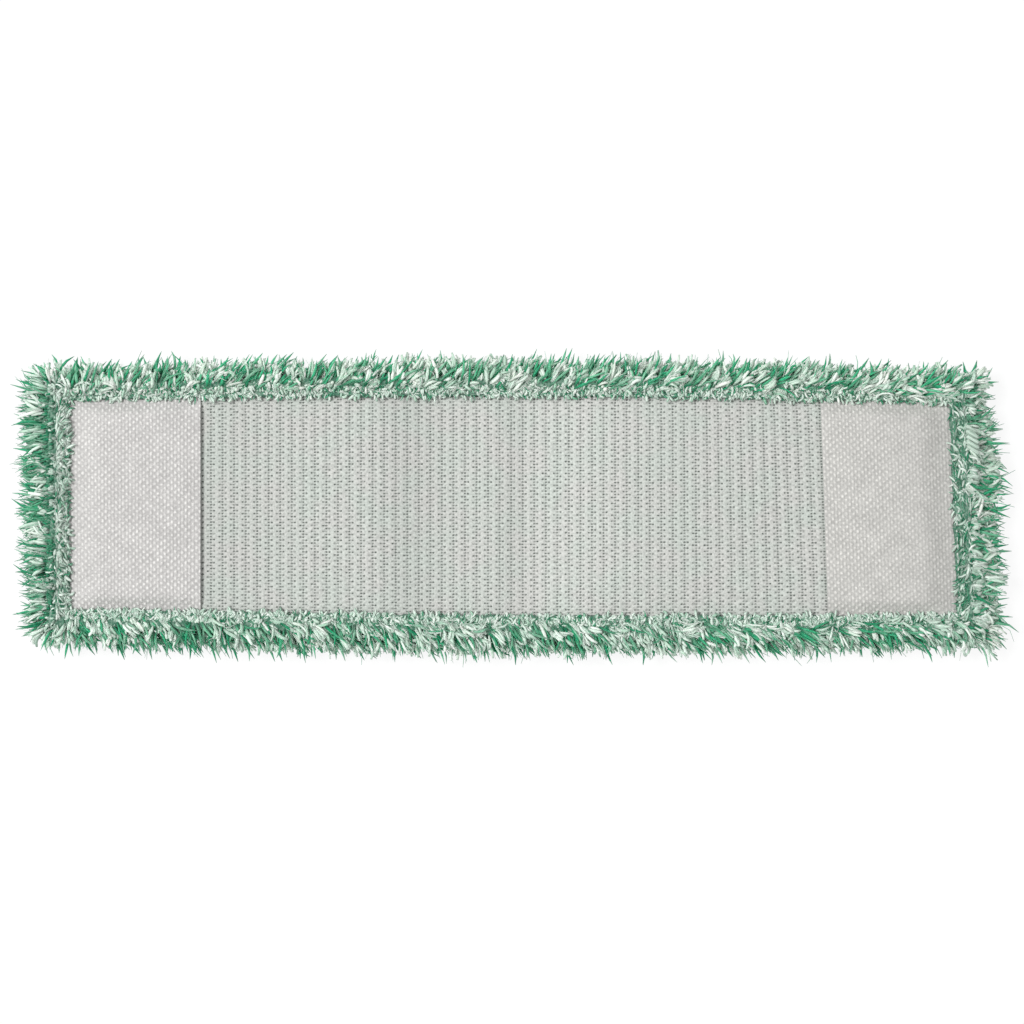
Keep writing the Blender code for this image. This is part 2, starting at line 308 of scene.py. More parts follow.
FIBRE_THICKNESS = 0.25 * MM
FIBRE_STRAY = 0.17
BRUSH_STRAY = 0.16
BRUSH_THINNED = -0.45  # power of its count by which a brush's strands get thinner
LOOSE_ROOT, LOOSE_CURL = 3, 2  # for a stray of 1, how far a strand's root in mm and its curl differ
LOOSE_CLIMB, LOOSE_LENGTH = (0.6, 0.7), (-1.5, 0.6)  # and its climb, mean and spread, and its length
LOCK_ROOT, LOCK_BELLY, LOCK_POINT = 0.55, 1.4, 0.08  # thickness along a lock
CELL_MARGIN = 0.08  # of a strand's cell in the bake map
WALL_FROM, WALL_SPAN = 0.14, 0.72  # where its wall lies in the cell
CAP_WIDE, CAP_HIGH, CAP_PLACES = 0.4, 0.05, (0.06, 0.94)  # and its two ends
FIBRE_RUN = 0.15  # how far its streaks are drawn out
FIBRE_APART = (37, 53)  # keeps the streaks of two locks unlike
YARN_RELIEF = 0.2 * MM

GREEN_DEEP = (0.010, 0.262, 0.122)
GREEN_BRIGHT = (0.038, 0.460, 0.224)
WHITE_COOL = (0.82, 0.95, 0.85)
WHITE_WARM = (0.91, 0.92, 0.86)
DYE_PALE, DYE_GREEN = 0.25, 0.90  # share of green fibre in a white lock and in a green one
SPREAD_PALE, SPREAD_GREEN = 0.17, 0.12


def yarn_finish():
    """Split microfibre: green or white by lock, with painted shade towards the root and on locks of low tone,
    streaked along its fibres.
    """
    material, first = textile("microfibre_yarn", 0.85, 0.04)
    shader = first.socket.node
    shader.inputs["Specular IOR Level"].default_value = 0.12
    shader.inputs["Subsurface Weight"].default_value = 0.45
    shader.inputs["Subsurface Radius"].default_value = (1, 1, 1)
    shader.inputs["Subsurface Scale"].default_value = 0.8 * MM
    dye, tone, along = first.mark("yarn").axes()
    streak = first.mark("fibre").noise(3.2, 3.0)
    white = tone.mix(WHITE_COOL, WHITE_WARM)
    green = tone.mix(GREEN_DEEP, GREEN_BRIGHT)
    # painted shade deep in the pile: darker towards each lock's root, green locks more so
    depth = along.eased(0.0, 0.4, 0.92 - 0.40 * dye, 1.0) * streak.eased(0.28, 0.72, 0.85, 1.12)
    tip = 1 - dye * along.eased(0.75, 1.0, 0.0, 0.35)
    # tones below 0 dim a lock: dull matted yarn on the floor pile, painted shade where an edge's tone range
    # reaches below 0
    matted = tone.eased(-1.0, 0.0, 0.5, 1.0)
    mixed = dye + streak.eased(0.3, 0.7, 0.12, -0.12)
    wear(material, mixed.mix(white, green).shaded(depth * tip * matted), streak, YARN_RELIEF)
    return material


def lock_lines(root, heading, climb, length, curl, droop, stations):
    """Centre lines of locks or fibres, as (lock, station, axis): each turns and droops on its way out."""
    between = (np.arange(stations - 1) + 0.5) / (stations - 1)
    turn = heading[:, None] + curl[:, None] * between
    rise = climb[:, None] - droop[:, None] * between
    steps = np.stack([np.cos(rise) * np.cos(turn), np.cos(rise) * np.sin(turn), np.sin(rise)], -1)
    steps = steps * length[:, None, None] / (stations - 1)
    return root[:, None] + np.concatenate([np.zeros_like(steps[:, :1]), np.cumsum(steps, 1)], 1)


def strand(lines, radius, dye, tone, sides, flat, number, cells):
    """Closed strands round many lines at once: points, faces, bake maps, and marks for dye and fibre.

    Each has a cell of its own in the bake map, counted from the given number."""
    count, stations = radius.shape
    u = np.linspace(0, 1, stations)
    lines = lines.copy()
    lines[..., 2] = np.maximum(lines[..., 2], flat * radius + FLOOR_CLEAR)
    tangent = np.gradient(lines, axis=1)
    tangent /= np.linalg.norm(tangent, axis=-1, keepdims=True) + 1e-12
    level = np.stack([-tangent[..., 1], tangent[..., 0], 1e-4 + 0 * tangent[..., 0]], -1)
    level -= tangent * (level * tangent).sum(-1, keepdims=True)
    level /= np.linalg.norm(level, axis=-1, keepdims=True)
    up = flat * np.cross(tangent, level)
    turn = 2 * np.pi * np.arange(sides) / sides
    ring = np.cos(turn)[:, None] * level[:, :, None] + np.sin(turn)[:, None] * up[:, :, None]
    points = lines[:, :, None] + radius[..., None, None] * ring

    corner = np.arange(count * stations * sides).reshape(count, stations, sides)
    onwards = np.roll(corner, -1, 2)
    walls = np.stack([corner[:, :-1], onwards[:, :-1], onwards[:, 1:], corner[:, 1:]], -1).reshape(-1, 4)
    cell = np.stack([number % cells, number // cells], -1) / cells

    def in_cell(across, along):
        place = np.stack(np.broadcast_arrays(across, along), -1) * (1 - 2 * CELL_MARGIN) + CELL_MARGIN
        return (cell.reshape(count, *[1] * (place.ndim - 1), 2) + place / cells).reshape(-1, 2)

    side = np.arange(sides)
    around = np.stack([side, side + 1, side + 1, side], -1) / sides
    along = WALL_FROM + WALL_SPAN * np.stack([u[:-1], u[:-1], u[1:], u[1:]], -1)
    maps = [in_cell(around[None], along[:, None])]
    maps += [in_cell(0.5 + CAP_WIDE * np.cos(turn), place + CAP_HIGH * np.sin(turn)) for place in CAP_PLACES]

    def on_points(*values):
        return np.stack([np.broadcast_to(v, corner.shape) for v in values], -1).reshape(-1, 3)

    each = tone[:, None, None]
    reach = np.linalg.norm(lines[:, -1] - lines[:, 0], axis=-1)[:, None, None]
    run = FIBRE_RUN * reach * u[:, None] / MM
    return (points.reshape(-1, 3), [walls, corner[:, 0, ::-1], corner[:, -1]], maps,
            on_points(dye[:, None, None], each, u[:, None]),
            on_points(np.cos(turn) + FIBRE_APART[0] * each, np.sin(turn) + FIBRE_APART[1] * each, run))


def spin(name, material, *bundles):
    """One piece of many strands. A bundle has lines, the radius along them, dye, tone, sides and flatness."""
    cells = int(np.ceil(np.sqrt(sum(len(bundle[0]) for bundle in bundles))))
    points, faces, maps, dyes, fibres = [], [], [], [], []
    strands = corners = 0
    for bundle in bundles:
        number = strands + np.arange(len(bundle[0]))
        spun = strand(*bundle, number, cells)
        points.append(spun[0])
        faces += [f + corners for f in spun[1]]
        maps += spun[2]
        dyes.append(spun[3])
        fibres.append(spun[4])
        strands += len(number)
        corners += len(spun[0])
    return piece(name, np.concatenate(points), faces, material, maps,
                 yarn=np.concatenate(dyes), fibre=np.concatenate(fibres))


def loosened(draw, locks, times, apart):
    """Each lock so many times over, strewn about its place and its way by the given measure."""
    loose = {key: np.repeat(values, times, 0) for key, values in locks.items()}
    some = times.sum()
    apart = np.repeat(apart, times)
    loose["root"] = loose["root"] + draw.normal(0, LOOSE_ROOT, (some, 3)) * apart[:, None] * MM
    loose["heading"] = loose["heading"] + draw.normal(0, apart)
    loose["curl"] = loose["curl"] + draw.normal(0, LOOSE_CURL * apart)
    loose["climb"] = loose["climb"] + draw.normal(*LOOSE_CLIMB, some) * apart
    loose["length"] = loose["length"] * (1 + draw.uniform(*LOOSE_LENGTH, some) * apart)
    return loose


def grow(name, draw, locks, section, fibres, pale=DYE_PALE, deep=DYE_GREEN, brush=1, blunt=0.6):
    """A piece of pile: plump locks, the green ones pointed and the white ones blunt, with fibres that stray.

    A section has a lock's sides and stations, the fibres are the mean count on a green lock and a white one,
    and a white lock opens into a brush of so many strands."""
    times = np.where(locks["green"], 1, brush)
    locks = loosened(draw, locks, times, np.where(times > 1, BRUSH_STRAY, 0))
    stout, green, tone = (locks.pop(key) for key in ("stout", "green", "tone"))
    stout = stout * np.repeat(times, times)**BRUSH_THINNED
    spread = np.where(green, SPREAD_GREEN, SPREAD_PALE)
    dye = np.clip(np.where(green, deep, pale) + draw.normal(0, spread), 0.02, 1)
    u = np.linspace(0, 1, section[1])
    tip = np.where(green, LOCK_POINT, blunt)[:, None]
    radius = stout[:, None] * (LOCK_ROOT * (1 - u) + tip * u + LOCK_BELLY * u * (1 - u))

    times = np.floor(np.where(green, *fibres) + draw.random(len(green))).astype(int)
    loose = loosened(draw, locks, times, np.full(len(green), FIBRE_STRAY))
    v = np.linspace(0, 1, FIBRE_STATIONS)
    thin = FIBRE_THICKNESS * draw.uniform(0.7, 1.2, (times.sum(), 1)) * (1 - 0.6 * v**2)
    return spin(name, yarn,
                (lock_lines(**locks, stations=section[1]), radius, dye, tone, section[0], LOCK_FLAT),
                (lock_lines(**loose, stations=FIBRE_STATIONS), thin, np.repeat(dye, times),
                 np.repeat(tone, times), FIBRE_SIDES, 1.0))


yarn = yarn_finish()
draw = np.random.default_rng(PILE_SEED)
x, y = np.meshgrid(np.arange(core_low.x, core_high.x, PILE_PITCH),
                   np.arange(core_low.y, core_high.y, PILE_PITCH))
times = 1 + (np.abs(x.ravel()) < FOLD_RUN + PILE_PARTS / 2)
x, y = (np.repeat(c.ravel(), times) for c in (x, y))
x, y = (c + draw.uniform(-0.5, 0.5, c.size) * PILE_PITCH for c in (x, y))
some = x.size
near_fold = np.clip((FOLD_RUN + PILE_PARTS - np.abs(x)) / PILE_PARTS, 0, 1)
along_fold = np.where(draw.random(some) < 0.5, 1, -1) * np.pi / 2 + draw.normal(0, FOLD_STRAY, some)
combed = PILE_SWING * ripple(draw, x, y, PILE_COMBED) + draw.normal(0, PILE_STRAY, some)
rim_x = np.sign(x) * np.maximum(np.abs(x) - core_high.x + PILE_SPLAY, 0)
rim_y = np.sign(y) * np.maximum(np.abs(y) - core_high.y + PILE_SPLAY, 0)
outwards = np.arctan2(rim_y, rim_x) + draw.normal(0, RIM_STRAY, some)
combed = np.where(np.hypot(rim_x, rim_y) > 0, outwards, combed)
turned_along = (draw.random(some) < near_fold) & (rim_y == 0)
pile = grow("floor_pile", draw, dict(
    root=np.stack([x, y, np.full(some, BACKING_UNDER + PILE_ROOTED)], -1),
    heading=np.where(turned_along, along_fold, combed),
    climb=draw.uniform(*PILE_CLIMB, some),
    length=PILE_LOCK * draw.uniform(0.85, 1.1, some),
    curl=draw.normal(0, PILE_CURL, some) * (1 - near_fold),
    droop=draw.uniform(*PILE_DROOP, some),
    stout=PILE_STOUT * draw.uniform(0.7, 1.3, some) * (1 - PILE_THINNED * near_fold),
    green=draw.random(some) < PILE_GREEN,
    tone=draw.uniform(*PILE_TONES, some)), SHORT_LOCK, fibres=(0, 0), blunt=PILE_TIP)
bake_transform(pile)


# Knit backing
# The back of the cover: a pale warp-knit polyester with upright columns of small holes, in pairs that
# step left and right by turns. It is laminated over the pile and creased across the middle, where it folds.
KNIT_UNDER = 10.3 * MM
KNIT_FACE = 11.9 * MM
COLUMN_PITCH = 5.25 * MM
ROW_PITCH = 1.3 * MM
HOLE_STEP = 1.42 * MM  # between the two holes of a pair
HOLE_WIDE, HOLE_HIGH = 0.62 * MM, 0.66 * MM  # half sizes of the dip in the cloth
HOLE_DEPTH = 0.7 * MM
COLUMN_LINES = np.array([-1.95, -1.42, -0.71, 0, 0.71, 1.42, 1.95, 2.625]) * MM
FIELD_X, FIELD_Y = 146 * MM, 49.4 * MM  # the field that shows, and that has the fine lines
PLAIN_PITCH = 4 * MM
SWELLS = (  # gentle slopes of the cloth along the cover: middle, half width and rise across each
    (-91 * MM, 16 * MM, 0.4 * MM),
    (-47 * MM, 13 * MM, -1.2 * MM),
    (-19 * MM, 10 * MM, 1.0 * MM),
    (1.5 * MM, 4.5 * MM, -0.7 * MM),
    (21 * MM, 16 * MM, 1.7 * MM),
    (75 * MM, 25 * MM, -0.7 * MM),
)
SWELL_LEAST = -0.2 * MM
SWELL_FADE = (36 * MM, 47 * MM)  # across the cover, the swells die away towards the hems
KNIT_PAINTED_SHADE = (  # painted light and shade of the cloth's gentle slopes and of its crease across the middle: middle and reach along the cover in mm, and change of shade
    (-128, 54, -0.040),
    (-46, 23, -0.075),
    (-0.6, 11, -0.055),
    (27, 42, 0.045),
    (113, 72, -0.020),
)
KNIT_PALE = (0.515, 0.555, 0.515)
KNIT_WARM = (0.54, 0.545, 0.52)
KNIT_HOLE = (0.14, 0.16, 0.145)
KNIT_RELIEF = 0.25 * MM
SPOT_WIDE, SPOT_HIGH = 0.20, 0.115  # squares of a dark spot's half sizes, in square mm
LINK_WIDE, LINK_HIGH = 0.9, 0.05  # and of the shade between the two spots of a pair
LINK_SHADE = 0.45
COLUMN_STRAY = 0.06  # how far the columns waver, as a share of their pitch


def swell(x, y):
    rise = sum(high / 2 * (1 + np.tanh((x - middle) / half)) for middle, half, high in SWELLS)
    fade = np.clip((np.abs(y) - SWELL_FADE[0]) / (SWELL_FADE[1] - SWELL_FADE[0]), 0, 1)
    return np.maximum(rise, SWELL_LEAST) * (1 - fade**2 * (3 - 2 * fade))


def holes(x, y):
    """1 in the middle of a knit hole, falling to 0 at its rim."""
    column, row = x / COLUMN_PITCH, y / ROW_PITCH
    off = (column - np.round(column)) * COLUMN_PITCH
    high = (row - np.round(row)) * ROW_PITCH
    towards = off * (1 - 2 * np.mod(np.round(row), 2))
    wide = np.minimum(np.abs(towards), np.abs(towards - HOLE_STEP))
    return np.clip(1 - (wide / HOLE_WIDE)**2 - (high / HOLE_HIGH)**2, 0, 1)


def knit_lines(limit, reach, pitch, offsets):
    """Fine lines that fit the knit over the field, with plain ones beyond it."""
    repeats = np.arange(-np.ceil(limit / pitch), np.ceil(limit / pitch) + 1) * pitch
    fine = (repeats[:, None] + offsets).ravel()
    fine = fine[np.abs(fine) <= limit]
    plain = np.arange(limit + PLAIN_PITCH, reach - PLAIN_PITCH / 2, PLAIN_PITCH)
    return np.r_[-reach, -plain[::-1], fine, plain, reach]


def knit_finish():
    material, first = textile("warp_knit", 0.85, 0.1)
    plan = first.mark("plan")
    x, y = plan.axes()[:2]
    stray = plan.noise(0.35, 1.0)
    column = x / (COLUMN_PITCH / MM) + (stray - 0.5) * COLUMN_STRAY
    row = y / (ROW_PITCH / MM)
    off = (column - column.sums("ROUND", column)) * (COLUMN_PITCH / MM)
    nearest = row.sums("ROUND", row)
    high = (row - nearest) * (ROW_PITCH / MM)
    towards = off * (1 - 2 * row.sums("FLOORED_MODULO", nearest, 2.0))
    wide = row.sums("MINIMUM", abs(towards), abs(towards - HOLE_STEP / MM))
    spot = wide * wide / SPOT_WIDE + high * high / SPOT_HIGH
    aside = abs(towards - HOLE_STEP / MM / 2)
    between = aside * aside / LINK_WIDE + high * high / LINK_HIGH
    patchy = plan.noise(0.8, 2.0)
    strength = patchy.eased(0.30, 0.66, 0.35, 1.0)
    hole = spot.eased(1.7, 0.3) * strength
    hole = row.sums("MAXIMUM", hole, between.eased(1.4, 0.3) * strength * LINK_SHADE)
    seam_line = abs(off).eased(0.22, 0.05) * plan.noise(0.22, 1.0).eased(0.55, 0.72, 0.0, 0.35)
    hole = row.sums("MAXIMUM", hole, seam_line)
    cloud = plan.noise(0.07, 3.0).eased(0.3, 0.7)
    loops = plan.noise(1.1, 3.0)
    ground = cloud.mix(KNIT_PALE, KNIT_WARM).shaded(loops.eased(0.25, 0.75, 0.82, 1.16))
    # painted light and shade in bands along the cover, from its slopes and the middle crease
    shade = 1.0
    for middle, reach, change in KNIT_PAINTED_SHADE:
        shade = shade + abs(x - middle).eased(reach, 0.0, 0.0, change)
    wear(material, hole.mix(ground.shaded(shade), KNIT_HOLE), loops - 1.2 * hole, KNIT_RELIEF)
    return material


knit = shell("knit_backing",
             knit_lines(FIELD_X, core_high.x, COLUMN_PITCH, COLUMN_LINES),
             knit_lines(FIELD_Y, core_high.y, ROW_PITCH, np.array([0, 0.5]) * ROW_PITCH),
             lambda x, y: KNIT_FACE + swell(x, y) - HOLE_DEPTH * holes(x, y) * (np.abs(x) < FIELD_X),
             lambda x, y: KNIT_UNDER + swell(x, y), knit_finish(), strips=2, skip=12)
bend_at_fold(knit, "base_cloth_left", "base_cloth_right")


# Pockets
# A panel of white woven cloth on each end, sewn in along three sides and open towards the middle.
# Thick upright yarns have floats that stand out in slanting rows, and the mouth has a plain selvedge.
FLANGE_FACE = 12.7 * MM
POCKET_CLOTH = 0.9 * MM
TUCKED = 5.2 * MM  # the edges that run on under the hems
SIDE_SLOPE, END_SLOPE = 7 * MM, 15 * MM
POCKET_SAG = 1.6 * MM  # an empty pocket sinks
MOUTH_SAG, MOUTH_RUN = 2.0 * MM, 14 * MM  # and a little more towards its mouth
YARN_PITCH = 1.57 * MM
FLOAT_PITCH = 2.98 * MM
FLOAT_RISE = 0.42 * MM
FLOAT_LOW = 0.12  # height of a yarn between its floats, as a share
FLOAT_MEAN = 0.3  # mean height, which stays at the cloth's own face
FLOAT_UNDER = 1.5 * MM  # how far the floats run on under the hems
YARN_STRAY, FLOAT_STRAY = 0.30, 0.45  # how far they waver, as shares of their pitch
WEAVE_RELIEF = 0.15 * MM
WEAVE_SLANT = 0.105
SELVEDGE = 2.2 * MM
# colours of the floats and, darker, of the gaps between them, which is painted shade; both are darker on the
# right panel
POCKET_SHADE = {"left": (0.705, 0.695, 0.675), "right": (0.655, 0.645, 0.615)}
POCKET_GAP_SHADE = {"left": (0.482, 0.472, 0.462), "right": (0.462, 0.457, 0.437)}
MOUTH_SHIFT = {"left": 0.6 * MM, "right": 1.7 * MM}  # how the mouths lie off, towards the sewn ends
FLOAT_FADE = {"left": 0.0, "right": 0.4}  # how far the floats flatten towards the sewn end


def weave(x, y):
    """1 on top of a float, 0 between the yarns."""
    column = np.round(x / YARN_PITCH)
    off = x / YARN_PITCH - column
    step = (y + WEAVE_SLANT * x) / FLOAT_PITCH + 0.5 * np.mod(column, 2)
    high = step - np.round(step)
    return np.cos(np.pi * off)**2 * (FLOAT_LOW + (1 - FLOAT_LOW) * np.cos(np.pi * high)**4)


def woven_finish(half, fade_from, fade_to):
    """White polyester floats over a greyer ground, the grey being painted shade between the floats, standing
    out less towards the sewn end.
    """
    material, first = textile(f"woven_panel_{half}", 0.75, 0.05)
    plan = first.mark("plan")
    x, y = plan.axes()[:2]
    stray = plan.noise(0.5, 1.0) - 0.5
    lane = x / (YARN_PITCH / MM) + stray * YARN_STRAY
    column = lane.sums("ROUND", lane)
    off = lane - column
    step = (y + x * WEAVE_SLANT) / (FLOAT_PITCH / MM) + 0.5 * lane.sums("FLOORED_MODULO", column, 2.0)
    step = step + (plan.noise(0.8, 1.0) - 0.5) * FLOAT_STRAY
    high = step - lane.sums("ROUND", step)
    ridge = abs(off).eased(0.51, 0.20)
    crest = abs(high).eased(0.34, 0.06)
    uneven = plan.noise(0.6, 2.0).eased(0.3, 0.7, 0.55, 1.0)
    flatter = abs(x).eased(fade_from / MM, fade_to / MM, 1.0, 1 - FLOAT_FADE[half])
    body = ridge * (FLOAT_LOW + (1 - FLOAT_LOW) * crest) * uneven * flatter
    fibres = plan.noise(1.0, 3.0)
    dull = plan.noise(0.12, 2.0).eased(0.3, 0.7, 0.95, 1.03)
    # the gaps take the darker colour, painted shade between the floats
    cloth = body.eased(0.0, 0.9).mix(POCKET_GAP_SHADE[half], POCKET_SHADE[half])
    shade = dull * fibres.eased(0.25, 0.75, 0.85, 1.14)
    wear(material, cloth.shaded(shade), body + 0.35 * fibres, WEAVE_RELIEF)
    return material


def pocket(half, side):
    """One panel, with its relief dying away into the selvedge at its mouth and under the hems."""
    low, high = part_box(f"pocket_{half}")
    mouth = (low.x if side > 0 else -high.x) + MOUTH_SHIFT[half]
    outer, edge, crown = bed_x + TUCKED, bed_y + TUCKED, high.z

    def height(x, y):
        side_way = np.clip((bed_y - np.abs(y)) / SIDE_SLOPE, 0, 1)
        end_way = np.clip((bed_x - np.abs(x)) / END_SLOPE, 0, 1)
        risen = side_way**2 * (3 - 2 * side_way) * end_way**2 * (3 - 2 * end_way)
        near = np.exp(-(np.abs(x) - mouth) / MOUTH_RUN)
        return FLANGE_FACE + (crown - POCKET_SAG - MOUTH_SAG * near - FLANGE_FACE) * risen

    def face(x, y):
        plain = np.clip((np.abs(x) - mouth - SELVEDGE) / MM, 0, 1)
        side_hem = np.clip((bed_y + FLOAT_UNDER - np.abs(y)) / MM, 0, 1)
        hem = side_hem * np.clip((bed_x + FLOAT_UNDER - np.abs(x)) / MM, 0, 1)
        flatter = 1 - FLOAT_FADE[half] * np.clip((np.abs(x) - mouth) / (bed_x - mouth), 0, 1)
        return height(x, y) + FLOAT_RISE * (weave(x, y) - FLOAT_MEAN) * plain * hem * flatter

    first = np.ceil(mouth / (YARN_PITCH / 4)) * YARN_PITCH / 4
    xs = np.r_[mouth, np.arange(first + 0.1 * MM, outer, YARN_PITCH / 4), outer]
    ys = np.arange(-edge, edge + FLOAT_PITCH / 12, FLOAT_PITCH / 6)
    panel = shell(f"{half}_pocket_panel", np.sort(side * xs), ys, face,
                  lambda x, y: height(x, y) - POCKET_CLOTH, woven_finish(half, mouth, bed_x))
    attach(panel, f"{half}_half")
    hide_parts(f"pocket_{half}")


HALVES = {"left": -1, "right": 1}
for half, side in HALVES.items():
    pocket(half, side)


# Hem bands
# Strips of the pile cloth turned up round the edge and over onto the back, felted by washing.
# Each is rolled thick, mitred at the corners, and sewn down along its inner edge.
HEM_WIDTH = 9.5 * MM
LIP_ON_FIELD, LIP_ON_POCKET = 12.05 * MM, 12.95 * MM
HEM_SECTION = (  # across from the inner edge, and height, in order round the roll
    (0.2, 13.7), (1.4, 14.1), (3.0, 14.4), (4.6, 15.6), (6.2, 16.5), (7.8, 16.2), (9.0, 14.9), (9.5, 12.4),
    (9.5, 8.5), (9.3, 5.2), (8.4, 3.3), (7.0, 3.6), (6.7, 6.5), (6.7, 10.4), (5.6, 12.6), (2.6, 13.0),
)
HEM_STATION = 2.5 * MM
HEM_LUMPS, HEM_WAVE = 0.35 * MM, 8 * MM
HEM_LUMPY = 11  # points of the section that lie on the outside of the roll
HEM_MITRE = 0.1 * MM  # gap at the corners
HEM_RELIEF = 0.5 * MM
HEM_SEED = 21
# colours of the roll, kept dark so that where it shows between the locks it is painted shade
HEM_DEEP = (0.055, 0.160, 0.105)
HEM_PALE = (0.17, 0.28, 0.215)
OUTWARD = {"back": (0, 1), "front": (0, -1), "left": (-1, 0), "right": (1, 0)}


def at_edge(edge, along, across, height):
    """Places beside an edge: along it, across from the hem's inner edge outwards, and up."""
    out_x, out_y = OUTWARD[edge]
    off = across + abs(out_x) * bed_x + abs(out_y) * bed_y
    return np.stack(np.broadcast_arrays(out_x * off + out_y * along, out_y * off - out_x * along, height), -1)


def draws_for(edge, seed):
    """The random draws for a piece of one edge."""
    return np.random.default_rng(seed + list(OUTWARD).index(edge))


def edge_half(edge):
    """Half the length of a hem along its inner edge."""
    return bed_x if edge in ("back", "front") else bed_y


def hem_band(edge, material):
    across, height = np.array(HEM_SECTION).T * MM
    half = edge_half(edge)
    steps = np.linspace(-1, 1, 1 + 2 * int(half / HEM_STATION))[:, None]
    along = steps * (half + across - HEM_MITRE)
    draw = draws_for(edge, HEM_SEED)
    lumps = HEM_LUMPS * ripple(draw, along, 6 * across + 3 * height, HEM_WAVE)
    lumps = lumps * (np.arange(len(across)) < HEM_LUMPY)
    points = at_edge(edge, along, across + lumps, height + lumps)
    on_field = np.abs(points[:, -1, 0]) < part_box("pocket_right")[0].x
    points[:, -1, 2] += (LIP_ON_FIELD - LIP_ON_POCKET) * on_field
    number = np.arange(points[..., 0].size).reshape(points.shape[:2])
    closed = np.concatenate([number, number[:, :1]], 1)
    faces = [quads(closed)[:, ::-1], number[:1], number[-1:, ::-1]]
    return piece(f"{edge}_hem_band", points.reshape(-1, 3), faces, material, plan=points.reshape(-1, 3) / MM)


turned, start = textile("turned_pile_cloth", 0.9, 0.1)
matted = start.mark("plan").noise(0.8, 4.0)
wear(turned, matted.eased(0.4, 0.62).mix(HEM_DEEP, HEM_PALE), matted, HEM_RELIEF)
bands = {edge: hem_band(edge, turned) for edge in OUTWARD}
for edge in ("back", "front"):
    bend_at_fold(bands[edge], f"{edge}_hem_left", f"{edge}_hem_right")
for half in HALVES:
    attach(bands[half], f"{half}_half")
    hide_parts(f"end_hem_{half}")


# Seams
# Polyester sewing thread, a lockstitch all round on the hems' flat inner strip.
# Each stitch shows as one short arch of twisted thread between two needle holes.
STITCH = 3.4 * MM
THREAD = 0.4 * MM  # radius
SEAM_INSET = 1.6 * MM
SEAM_SINK = {"back": 0.9, "front": 0.9, "left": 0.5, "right": 0.7}  # how deep it is pulled in, in mm
SEAM_STRAY = 0.15 * MM
STITCH_GAP = 0.04  # at each end, as a share of a stitch
STITCH_DIP = 1.1 * MM  # how far a stitch's ends dive
STITCH_SIDES, STITCH_STATIONS = 6, 7
THREAD_COLOUR = (0.58, 0.64, 0.59)
THREAD_SHADED = tuple(0.75 * c for c in THREAD_COLOUR)
THREAD_TWIST = 9.0
THREAD_RELIEF = 0.1 * MM
SEAM_SEED = 31

thread, start = textile("sewing_thread", 0.6)
twist = start.sums("SINE", start.mark("fibre").axes()[2] * THREAD_TWIST)
wear(thread, twist.eased(-1.0, 1.0).mix(THREAD_SHADED, THREAD_COLOUR), twist, THREAD_RELIEF)
for edge in OUTWARD:
    draw = draws_for(edge, SEAM_SEED)
    seam_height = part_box("back_seam_left")[1].z - THREAD - SEAM_SINK[edge] * MM
    reach = edge_half(edge) + SEAM_INSET
    starts = np.arange(-reach, reach - STITCH, STITCH)
    u = np.linspace(0, 1, STITCH_STATIONS)
    along = starts[:, None] + STITCH * (STITCH_GAP + (1 - 2 * STITCH_GAP) * u)
    across = SEAM_INSET + SEAM_STRAY * draw.uniform(-1, 1, (len(starts), 1)) + 0 * u
    arch = at_edge(edge, along, across, seam_height - STITCH_DIP * (2 * u - 1)**4)
    stout, dye, tone = np.full(along.shape, THREAD), np.zeros(len(starts)), draw.random(len(starts))
    seam = spin(f"{edge}_seam_thread", thread, (arch, stout, dye, tone, STITCH_SIDES, 1.0))
    if edge in HALVES:
        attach(seam, f"{edge}_half")
        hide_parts(f"end_seam_{edge}")
    else:
        bend_at_fold(seam, f"{edge}_seam_left", f"{edge}_seam_right")


# Hem pile
# The short, matted pile on top of the hems: curled ends of the same yarn, pressed down and felted together.
# On the end hems it is combed along the edge into a pale strip that runs out over the corners.
LONG_MAT = 13.5  # locks for each mm of a long hem
END_MAT = 20.0  # and of an end hem
MAT_STOUT = 0.41 * MM  # radius of its green locks
MAT_GREEN = {"back": (0.36, 0.44), "front": (0.22, 0.44), "left": (0.50, 0.26), "right": (0.80, 0.56)}
MAT_PALE, MAT_DEEP = 0.26, 0.90  # share of green fibre in its locks
MAT_CLUMP = 4.5 * MM  # size of a patch of one colour
FULLER = 1.5  # how much stouter the white locks are than the green ones
MAT_START = {"back": 0.9, "front": 1.2, "left": 1.2, "right": 1.2}  # where it starts across, in mm
MAT_END = {"back": 6.0, "front": 5.6, "left": 6.2, "right": 11.0}
MAT_OUTER = 9 * MM  # its outermost roots
MAT_SET = 0.3 * MM  # how deep it is set into the roll
MAT_SCATTER = 0.4
LONG_LIE = (1.5, 1.7, (2.3, 4.2), (0.1, 0.5), (0.6, 1.5))  # stray, curl, length in mm, climb and droop
END_LIE = (0.35, 0.9, (3.0, 5.5), (0.0, 0.35), (0.3, 0.9))
MAT_SEED = 41
STRIP_FROM = -203 * MM  # the left strip covers the corners, so the long hems' yarn starts here
# range of tone of the hem pile: dull matted yarn, with painted shade in the lower ranges on the front and the
# right end
MAT_TONE_AND_SHADE = {"back": (-0.3, 0.7), "front": (-0.5, 0.5), "left": (-0.7, 0.4), "right": (-0.9, 0.2)}


def hem_top(across):
    """Height of the roll's upper side."""
    outline = np.array(HEM_SECTION[:8]) * MM
    return np.interp(across, outline[:, 0], outline[:, 1])


def patches(draw, place, green, clump, scatter):
    """Which locks are green: patches of the clump's size that cover the given share, with stragglers."""
    field = ripple(draw, place[:, 0], place[:, 1], clump) + draw.normal(0, scatter, len(place))
    return field.argsort().argsort() / len(place) > 1 - green


